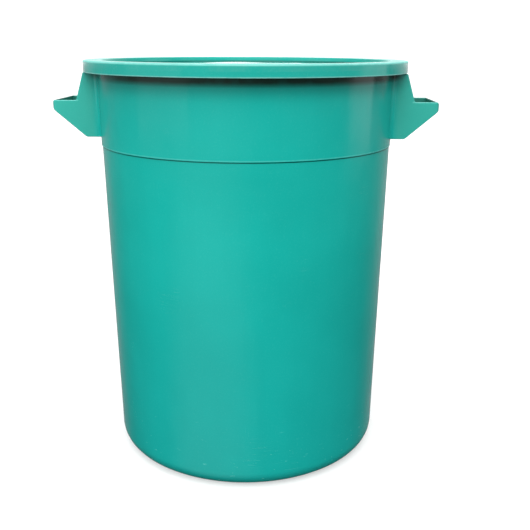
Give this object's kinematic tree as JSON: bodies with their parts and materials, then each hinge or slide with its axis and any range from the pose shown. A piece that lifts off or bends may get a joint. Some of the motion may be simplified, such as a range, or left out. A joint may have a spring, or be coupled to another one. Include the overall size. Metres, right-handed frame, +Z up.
{
  "type": "overpack salvage drum",
  "caption": "Round tapered plastic drum with a banded lift-off lid and a moulded hand grip on each side, for holding damaged or leaking containers.",
  "frame": {"origin": "centre of the base, on the floor", "axes": "+Z up along the drum's axis, the handles point along -X and +X, -Y is the front"},
  "size_m": [0.5906, 0.5, 0.628],
  "materials": {
    "drum_plastic": "semi-gloss moulded polyethylene, teal green, lightly scuffed",
    "lid_plastic": "semi-gloss moulded polyethylene, teal green, a little brighter than the drum",
    "gasket_rubber": "soft black elastomer"
  },
  "bodies": {
    "drum": {"drum_shell": "drum_plastic", "handle_left": "drum_plastic", "handle_right": "drum_plastic"},
    "lid": {"lid": "lid_plastic", "lid_gasket": "gasket_rubber"}
  },
  "joints": [
    {"name": "lid_lift", "type": "slide", "parent": "drum", "child": "lid", "axis": [0, 0, 1], "range_m": [0, 0.2]}
  ]
}
